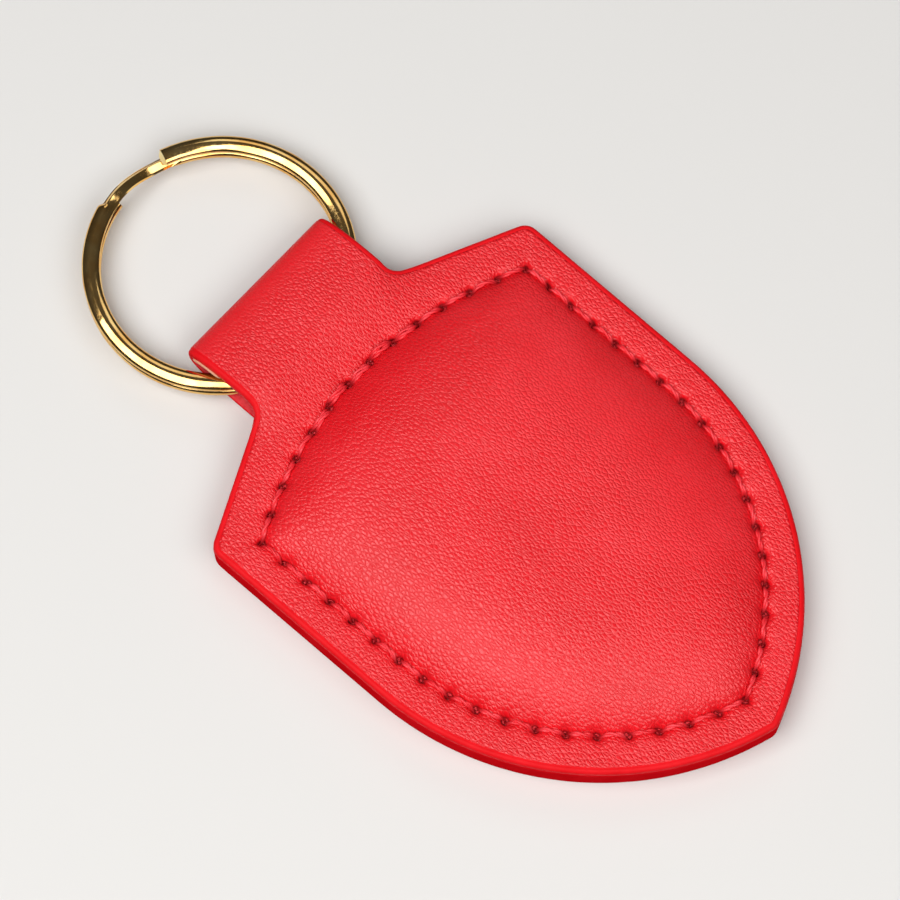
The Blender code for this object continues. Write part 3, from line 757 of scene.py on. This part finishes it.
def makeUnitStitch(size):
    # Along X from one hole to the next; both plies wind round a path that sinks at its ends
    length, steps = unitStitch["length"], unitStitch["steps"]
    curve = bpy.data.curves.new("stitch", "CURVE")
    curve.dimensions = "3D"
    curve.bevel_depth = size["ply"]
    curve.bevel_resolution = 2
    curve.use_fill_caps = True
    for ply in (0.0, math.pi):
        strand = curve.splines.new("POLY")
        strand.points.add(steps)
        for step, point in enumerate(strand.points):
            share = step / steps
            slack = 1 - unitStitch["slack"] * math.sin(math.pi * share)
            along = length * (0.5 - 0.5 * math.cos(math.pi * share) * slack)
            drop = (size["sink"] + size["rise"]) * hump(min(along, length - along), size["overhang"])
            turn = ply + math.pi * unitStitch["halfTwists"] * share
            point.co = (along, size["plyApart"] * math.cos(turn),
                        size["rise"] - drop + size["plyApart"] * math.sin(turn), 1.0)
    made = bpy.data.objects.new("stitch", curve)
    bpy.context.scene.collection.objects.link(made)
    selectOnly(made)
    bpy.ops.object.convert(target="MESH")
    made = bpy.context.view_layer.objects.active
    bpy.ops.object.shade_smooth()
    # how far into its hole each bit of thread is, for the painted shadow at its ends
    sunk = made.data.attributes.new("sunk", "FLOAT", "POINT")
    for vertex, value in zip(made.data.vertices, sunk.data):
        value.value = hump(max(min(vertex.co.x, length - vertex.co.x), 0.0), size["shadowedEnd"])
    return made


def sewSeam(name, size, upward, material):
    holes = [column["seam"] for column in seamColumns((0.0,))[0]]
    pairs = [(start, end, 0.0) for start, end in zip(holes, holes[1:] + holes[:1])]
    for stitch, lift, aside in size["sewnTwice"]:
        start, end = holes[stitch], holes[stitch + 1]
        across = leftOf(end - start) * aside
        pairs.append((start + across, end + across, lift))
    unit, side = makeUnitStitch(size), 1 if upward else -1
    copies = []
    for number, (start, end, lift) in enumerate(pairs):
        copy = bpy.data.objects.new("stitch", unit.data.copy())
        bpy.context.scene.collection.objects.link(copy)
        turn = math.atan2(end.y - start.y, end.x - start.x)
        stretch = (end - start).length / unitStitch["length"]
        lean = unitStitch["lean"] * math.sin(number * unitStitch["leanTurn"])
        place = Matrix.Translation(Vector((*start, size["surfaceZ"] + lift * side)))
        place = place @ Matrix.Rotation(turn, 4, "Z") @ Matrix.Diagonal((stretch, 1.0, 1.0, 1.0))
        place = place @ Matrix.Rotation(0.0 if upward else math.pi, 4, "X") @ Matrix.Rotation(lean, 4, "X")
        copy.data.transform(Matrix.Scale(mm, 4) @ place)
        copies.append(copy)
    bpy.data.objects.remove(unit)
    selectOnly(*copies)
    bpy.ops.object.join()
    made = bpy.context.view_layer.objects.active
    made.name = name
    made.data.materials.clear()
    made.data.materials.append(material)
    return made


# Materials

def linear(hexColour):
    # sRGB hex to the linear values that the shader takes
    values = [int(hexColour[place:place + 2], 16) / 255 for place in (1, 3, 5)]
    return (*[value / 12.92 if value <= 0.04045 else ((value + 0.055) / 1.055) ** 2.4
              for value in values], 1.0)


def addNode(tree, kind, inputs, **settings):
    # An input is a value, or the socket that it comes from
    node = tree.nodes.new(kind)
    for name, value in settings.items():
        setattr(node, name, value)
    for name, value in inputs.items():
        if isinstance(value, bpy.types.NodeSocket):
            tree.links.new(value, node.inputs[name])
        else:
            node.inputs[name].default_value = value
    return node


def mathOf(tree, operation, *terms):
    return addNode(tree, "ShaderNodeMath", dict(enumerate(terms)), operation=operation).outputs["Value"]


def placeOf(tree):
    return addNode(tree, "ShaderNodeTexCoord", {}).outputs["Object"]


def attributeOf(tree, name):
    return addNode(tree, "ShaderNodeAttribute", {}, attribute_name=name).outputs["Fac"]


def noiseOf(tree, place, scale, detail=2.0, roughness=0.5):
    return addNode(tree, "ShaderNodeTexNoise", {
        "Vector": place, "Scale": scale, "Detail": detail, "Roughness": roughness}).outputs["Fac"]


def cellsOf(tree, inputs, feature):
    return addNode(tree, "ShaderNodeTexVoronoi", inputs, feature=feature,
                   voronoi_dimensions="2D").outputs["Distance"]


def softRange(tree, value, low, high):
    return addNode(tree, "ShaderNodeMapRange", {"Value": value, "From Min": low, "From Max": high},
                   interpolation_type="SMOOTHSTEP").outputs["Result"]


def blendOf(tree, share, first, second, way="MIX"):
    return addNode(tree, "ShaderNodeMix", {0: share, 6: first, 7: second}, data_type="RGBA",
                   blend_type=way).outputs[2]


def rampOf(tree, source, *stops):
    ramp = addNode(tree, "ShaderNodeValToRGB", {"Fac": source})
    while len(ramp.color_ramp.elements) < len(stops):
        ramp.color_ramp.elements.new(0.5)
    for element, (place, colour) in zip(ramp.color_ramp.elements, stops):
        element.position = place
        element.color = linear(colour) if isinstance(colour, str) else (colour, colour, colour, 1.0)
    return ramp.outputs["Color"]


def startMaterial(name, values):
    material = bpy.data.materials.new(name)
    material.use_nodes = True
    tree = material.node_tree
    shader = tree.nodes["Principled BSDF"]
    for socket, value in values.items():
        shader.inputs[socket].default_value = value
    return material, tree, shader


def dress(tree, shader, colour, roughness, height, distance, strength=1.0):
    tree.links.new(colour, shader.inputs["Base Color"])
    tree.links.new(roughness, shader.inputs["Roughness"])
    bump = addNode(tree, "ShaderNodeBump", {"Height": height, "Distance": distance, "Strength": strength})
    tree.links.new(bump.outputs["Normal"], shader.inputs["Normal"])


hide = {
    # deep, plain and light are the red's own random drift; hole is the painted shadow in the needle holes and
    # on the thread's ends, and fold the even red painted as shade on the fold
    "deep": "#E20C19", "plain": "#E9131F", "light": "#EF202B", "hole": "#8A020A", "fold": "#E81420",
    # pebbles and pores in millimetres across, then how the pebbles are drawn out, turned and bent
    "pebble": 0.34, "pore": 0.12, "pebbleStretch": 0.55, "grainTurnDeg": 25, "wobble": 0.00022,
    "creaseWidth": 0.26, "creaseDepth": 0.5, "crownFall": 0.9, "poreDepth": 0.15, "relief": 0.00007,
    # the first two values paint shade into the grain's creases; the two roughnesses belong to the finish
    "creaseShadeTone": 0.84, "creaseShadeMix": 0.6, "creaseRough": 0.54, "crownRough": 0.33,
    "domeFlatter": 0.25, "foldFlatterAndShaded": 0.6, "foldDuller": 0.12,
}


def grainedLeather(name, useMap):
    # Full-grain cowhide with a pigment finish: a pebbled, softly shining red skin
    material, tree, shader = startMaterial(name, {"Roughness": 0.42, "IOR": 1.58})
    if useMap:
        place = addNode(tree, "ShaderNodeUVMap", {}, uv_map="hide").outputs["UV"]
    else:
        place = placeOf(tree)
    turned = addNode(tree, "ShaderNodeMapping", {
        "Vector": place, "Rotation": (0.0, 0.0, math.radians(hide["grainTurnDeg"])),
        "Scale": (1.0, hide["pebbleStretch"], 1.0)}).outputs["Vector"]
    wobble = addNode(tree, "ShaderNodeTexNoise", {"Vector": turned, "Scale": 2600.0, "Detail": 1.0})
    sway = {0: wobble.outputs["Color"], 1: (hide["wobble"], hide["wobble"], 0.0), 2: turned}
    bent = addNode(tree, "ShaderNodeVectorMath", sway, operation="MULTIPLY_ADD").outputs["Vector"]
    pebbles = {"Vector": bent, "Scale": 1000 / hide["pebble"]}
    crowns = cellsOf(tree, {**pebbles, "Smoothness": 0.6}, "SMOOTH_F1")
    valley = softRange(tree, cellsOf(tree, pebbles, "DISTANCE_TO_EDGE"), 0.0, hide["creaseWidth"])
    rounded = mathOf(tree, "MULTIPLY_ADD", crowns, -hide["crownFall"],
                     mathOf(tree, "MULTIPLY", valley, hide["creaseDepth"]))
    pores = noiseOf(tree, place, 1000 / hide["pore"])
    relief = mathOf(tree, "MULTIPLY_ADD", pores, hide["poreDepth"], rounded)
    # The moulded dome and the tab's fold are stretched, so their grain is flatter; the fold's share also sets
    # its painted shade
    folded = attributeOf(tree, "fold")
    flatDome = mathOf(tree, "MULTIPLY", attributeOf(tree, "dome"), hide["domeFlatter"])
    flatAndShadedFold = mathOf(tree, "MULTIPLY", folded, hide["foldFlatterAndShaded"])
    grainDepth = mathOf(tree, "SUBTRACT", 1.0, mathOf(tree, "MAXIMUM", flatDome, flatAndShadedFold))
    # The red drifts a little at random; painted shade makes it darker in the creases, and a painted shadow
    # makes it darkest in the needle holes
    blotch = noiseOf(tree, place, 90.0, 3.0, 0.6)
    skin = rampOf(tree, blotch, (0.3, hide["deep"]), (0.5, hide["plain"]), (0.72, hide["light"]))
    creaseShade = rampOf(tree, valley, (0.0, hide["creaseShadeTone"]), (0.6, 1.0))
    creaseShaded = blendOf(tree, hide["creaseShadeMix"], skin, creaseShade, "MULTIPLY")
    # painted shade: on the fold the red is mixed towards one even tone, for the leather turning away from the
    # light
    shadedFoldTone = blendOf(tree, flatAndShadedFold, creaseShaded, linear(hide["fold"]))
    # painted shadow: round each needle hole the red is mixed towards the dark hole colour
    holeShadowShare = softRange(tree, attributeOf(tree, "hole"), 0.25, 0.6)
    holeShadowed = blendOf(tree, holeShadowShare, shadedFoldTone, linear(hide["hole"]))
    shine = rampOf(tree, valley, (0.0, hide["creaseRough"]), (0.8, hide["crownRough"]))
    duller = mathOf(tree, "MULTIPLY_ADD", folded, hide["foldDuller"], shine)
    dress(tree, shader, holeShadowed, duller, relief, hide["relief"], grainDepth)
    return material


def paintedEdge(name, gloss):
    # Acrylic edge paint on cut leather: smooth, a little glossy, slightly uneven
    material, tree, shader = startMaterial(name, {"Roughness": 0.5, "IOR": 1.45, "Specular IOR Level": gloss})
    place = placeOf(tree)
    broad, fine = noiseOf(tree, place, 350.0, 3.0), noiseOf(tree, place, 2200.0)
    uneven = mathOf(tree, "MULTIPLY_ADD", fine, 0.35, broad)
    dress(tree, shader, rampOf(tree, broad, (0.3, "#DA0A14"), (0.7, "#E6141E")),
          rampOf(tree, fine, (0.3, 0.45), (0.7, 0.6)), uneven, 0.00005, 0.5)
    return material


def fibrous(name, dark, light, fibre, stretch, roughness, depth):
    # Loose fibres: a matt nap with long specks
    material, tree, shader = startMaterial(name, {"Roughness": roughness, "Sheen Weight": 0.1})
    place = placeOf(tree)
    drawn = addNode(tree, "ShaderNodeMapping", {"Vector": place, "Scale": (1.0, stretch, 1.0)})
    nap = noiseOf(tree, drawn.outputs["Vector"], 1000 / fibre, 4.0, 0.7)
    both = mathOf(tree, "MULTIPLY_ADD", noiseOf(tree, place, 120.0), 0.4, nap)
    dress(tree, shader, rampOf(tree, both, (0.45, dark), (0.95, light)),
          rampOf(tree, nap, (0.3, min(roughness + 0.06, 1.0)), (0.7, roughness - 0.06)), nap, depth)
    return material


def bondedThread():
    # Bonded polyester thread: tight, faintly shining filaments, with painted shadow where they go into a hole
    material, tree, shader = startMaterial("bondedThread", {"Roughness": 0.45, "IOR": 1.5})
    place = placeOf(tree)
    strands = noiseOf(tree, place, 9000.0)
    tone = rampOf(tree, noiseOf(tree, place, 500.0), (0.3, "#E61D29"), (0.7, "#F6404A"))
    # painted shadow: the thread turns towards the hole colour where it sinks into a hole
    shaded = blendOf(tree, attributeOf(tree, "sunk"), tone, linear(hide["hole"]))
    dress(tree, shader, shaded, rampOf(tree, strands, (0.3, 0.32), (0.7, 0.5)), strands, 0.00003)
    return material


def goldPlate(name, smooth, dull, dark, light):
    # Gold-plated spring steel: mirror-like with a faint ripple, and matt where it was snipped
    material, tree, shader = startMaterial(name, {"Metallic": 1.0, "Roughness": smooth})
    place = placeOf(tree)
    ripple, rub = noiseOf(tree, place, 420.0), noiseOf(tree, place, 2600.0, 3.0)
    dress(tree, shader, rampOf(tree, ripple, (0.3, dark), (0.7, light)),
          rampOf(tree, rub, (0.35, smooth), (0.7, dull)), ripple, 0.00004, 0.55)
    return material


# Everything in its place

grain = grainedLeather("pigmentedCowhide", True)
backGrain = grainedLeather("pigmentedCowhideBack", False)
edgePaint = paintedEdge("acrylicEdgePaint", 0.14)
wallPaint = paintedEdge("acrylicWallPaint", 0.0)
flesh = fibrous("dyedFleshSide", "#C4141E", "#EC3E46", 0.35, 0.6, 0.85, 0.00006)
board = fibrous("greyFibreboard", "#7A6A58", "#A8977F", 0.4, 0.5, 0.9, 0.00005)
foam = fibrous("closedCellFoam", "#DAD6CB", "#F2EFE8", 0.5, 1.0, 0.9, 0.00008)
tape = fibrous("wovenCottonTape", "#D59878", "#F0BA98", 0.3, 1.0, 0.85, 0.00006)
threadFinish = bondedThread()
gold = goldPlate("goldPlatedSteel", 0.07, 0.16, "#E8B060", "#F5CF88")
# the cut end's pale, near-white gold is partly the bare cut metal and partly a painted highlight on the
# snipped face
snippedGold = goldPlate("snippedWireEnd", 0.6, 0.75, "#FFE08A", "#FFF3C8")
print("materials made")

cover = buildFrontCover([grain, edgePaint, flesh])
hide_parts("front_cover")
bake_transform(cover)

wall = buildEdgeWall(wallPaint)
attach(wall, "fob")

back = buildBackCover([backGrain, flesh])
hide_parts("back_cover")
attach(back, "fob")

pad = buildFoamPad(foam)
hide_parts("foam_pad")
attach(pad, "fob")

needle = sewSeam("needleThread", needleStitch, True, threadFinish)
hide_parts("needle_thread")
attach(needle, "fob")

bobbin = sewSeam("bobbinThread", bobbinStitch, False, threadFinish)
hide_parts("bobbin_thread")
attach(bobbin, "fob")
print("stitches sewn")

tapeStrip = buildTabTape(tape)
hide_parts("reinforcing_tape")
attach(tapeStrip, "tab_loop")

ring = buildSplitRing([gold, snippedGold])
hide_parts("split_ring")
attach(ring, "ring")
print("ring made")

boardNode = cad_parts["stiffener_board"]
boardNode.data.materials.clear()
boardNode.data.materials.append(board)

# Floor, light and camera

studio = {
    "floorSize": 4.0, "floorColour": "#DEDCD9", "bounceColour": "#8C8A88",
    "horizon": 0.04, "middle": 0.055, "overhead": 0.10,
    # each softbox: metres towards the camera, to its left and up, then width and height, then watts
    "keySoftbox": (0.15, 0.24, 0.53, 0.57, 0.47, 3.4),
    "fillSoftbox": (0.30, -0.25, 0.45, 0.65, 0.35, 2.0),
    # low behind the object: it draws the bright lines on the far side of the wire
    "backSoftbox": (-0.42, -0.10, 0.36, 0.40, 0.18, 0.22),
}
# The camera looks down at 70.5 degrees from the tip's left
view = {"lookAt": (0.0009, -0.00053, 0.0), "turnDeg": -48.068, "tiltDeg": 70.5, "distance": 0.3546,
        "lens": 132, "sensor": 36, "clipStart": 0.01}

bpy.ops.object.select_all(action="DESELECT")
bpy.ops.mesh.primitive_plane_add(size=studio["floorSize"], location=(0.0, 0.0, 0.0))
floor = bpy.context.view_layer.objects.active
floor.name = "floor"
floorTone = linear(studio["floorColour"])
paper, paperTree, paperShader = startMaterial("paleCard", {"Roughness": 0.9, "Base Color": floorTone})
floor.data.materials.append(paper)
# The camera, metal and glass see pale card; what it throws back on the object is a mid grey
seen = addNode(paperTree, "ShaderNodeLightPath", {}).outputs
either = mathOf(paperTree, "MAXIMUM", seen["Is Camera Ray"], seen["Is Glossy Ray"])
anySeen = mathOf(paperTree, "MAXIMUM", either, seen["Is Transmission Ray"])
cardTone = blendOf(paperTree, anySeen, linear(studio["bounceColour"]), floorTone)
paperTree.links.new(cardTone, paperShader.inputs["Base Color"])

world = bpy.data.worlds.new("studio")
bpy.context.scene.world = world
world.use_nodes = True
room = world.node_tree
# Darker walls and a lighter ceiling give the ring its dark and bright bands
direction = addNode(room, "ShaderNodeTexCoord", {}).outputs["Generated"]
height = addNode(room, "ShaderNodeSeparateXYZ", {"Vector": direction}).outputs["Z"]
roomTone = rampOf(room, height, (0.0, studio["horizon"]), (0.5, studio["middle"]), (1.0, studio["overhead"]))
room.links.new(roomTone, room.nodes["Background"].inputs["Color"])

turn, tilt = math.radians(view["turnDeg"]), math.radians(view["tiltDeg"])
backward = Vector((math.sin(turn) * math.cos(tilt), -math.cos(turn) * math.cos(tilt), math.sin(tilt)))
bpy.ops.object.camera_add(location=Vector(view["lookAt"]) + backward * view["distance"],
                          rotation=(math.radians(90) - tilt, 0.0, turn))
camera = bpy.context.view_layer.objects.active
camera.data.lens = view["lens"]
camera.data.sensor_width = view["sensor"]
camera.data.clip_start = view["clipStart"]
bpy.context.scene.camera = camera

towardCamera = Vector((backward.x, backward.y, 0.0)).normalized()
leftward = Vector((-math.cos(turn), -math.sin(turn), 0.0))
for name in ("keySoftbox", "fillSoftbox", "backSoftbox"):
    toward, left, up, width, length, watts = studio[name]
    place = towardCamera * toward + leftward * left + Vector((0.0, 0.0, up))
    bpy.ops.object.light_add(type="AREA", location=place)
    lamp = bpy.context.view_layer.objects.active
    lamp.name = name
    lamp.data.shape = "RECTANGLE"
    lamp.data.size, lamp.data.size_y = width, length
    lamp.data.energy = watts
    lamp.rotation_euler = (-place).to_track_quat("-Z", "Y").to_euler()

bpy.context.scene.view_settings.view_transform = "Standard"
